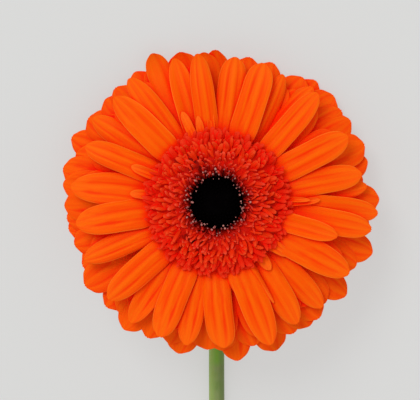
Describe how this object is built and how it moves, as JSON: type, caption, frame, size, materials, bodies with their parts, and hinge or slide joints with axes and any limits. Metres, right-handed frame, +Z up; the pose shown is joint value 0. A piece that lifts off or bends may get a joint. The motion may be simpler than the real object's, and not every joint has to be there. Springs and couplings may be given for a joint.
{
  "type": "cut gerbera",
  "caption": "Orange gerbera with a dark eye and a red-orange fringe, cut with a long green stem and lying face up.",
  "frame": {"origin": "middle of the underside of the lying flower, on the surface it rests on", "axes": "+Z up from the surface; +Y along the stem from the cut end towards the head; +X to the right of the face"},
  "size_m": [0.1124, 0.448, 0.053],
  "materials": {
    "ray_petal": "satin",
    "fringe_petal": "satin",
    "anther": "matte",
    "dark_bud": "matte",
    "bract_green": "matte",
    "stem_green": "satin"
  },
  "bodies": {
    "root": {"stem": "stem_green", "receptacle": "bract_green", "bracts_inner": "bract_green", "bracts_outer": "bract_green", "disc_florets": "dark_bud", "anther_tubes": "anther", "trans_florets_inner": "fringe_petal", "trans_florets_middle": "fringe_petal", "trans_florets_outer": "fringe_petal", "ray_front_01": "ray_petal", "ray_front_02": "ray_petal", "ray_front_03": "ray_petal", "ray_front_04": "ray_petal", "ray_front_05": "ray_petal", "ray_front_06": "ray_petal", "ray_front_07": "ray_petal", "ray_front_08": "ray_petal", "ray_front_09": "ray_petal", "ray_front_10": "ray_petal", "ray_front_11": "ray_petal", "ray_front_12": "ray_petal", "ray_front_13": "ray_petal", "ray_front_14": "ray_petal", "ray_front_15": "ray_petal", "ray_front_16": "ray_petal", "ray_front_17": "ray_petal", "ray_front_18": "ray_petal", "ray_front_19": "ray_petal", "ray_front_20": "ray_petal", "ray_front_21": "ray_petal", "ray_front_22": "ray_petal", "ray_front_23": "ray_petal", "ray_front_24": "ray_petal", "ray_front_25": "ray_petal", "ray_front_26": "ray_petal", "ray_front_27": "ray_petal", "ray_front_28": "ray_petal", "ray_front_29": "ray_petal", "ray_front_30": "ray_petal", "ray_back_01": "ray_petal", "ray_back_02": "ray_petal", "ray_back_03": "ray_petal", "ray_back_04": "ray_petal", "ray_back_05": "ray_petal", "ray_back_06": "ray_petal", "ray_back_07": "ray_petal", "ray_back_08": "ray_petal", "ray_back_09": "ray_petal", "ray_back_10": "ray_petal", "ray_back_11": "ray_petal", "ray_back_12": "ray_petal", "ray_back_13": "ray_petal", "ray_back_14": "ray_petal", "ray_back_15": "ray_petal", "ray_back_16": "ray_petal", "ray_back_17": "ray_petal", "ray_back_18": "ray_petal", "ray_back_19": "ray_petal", "ray_back_20": "ray_petal", "ray_back_21": "ray_petal"}
  },
  "joints": []
}
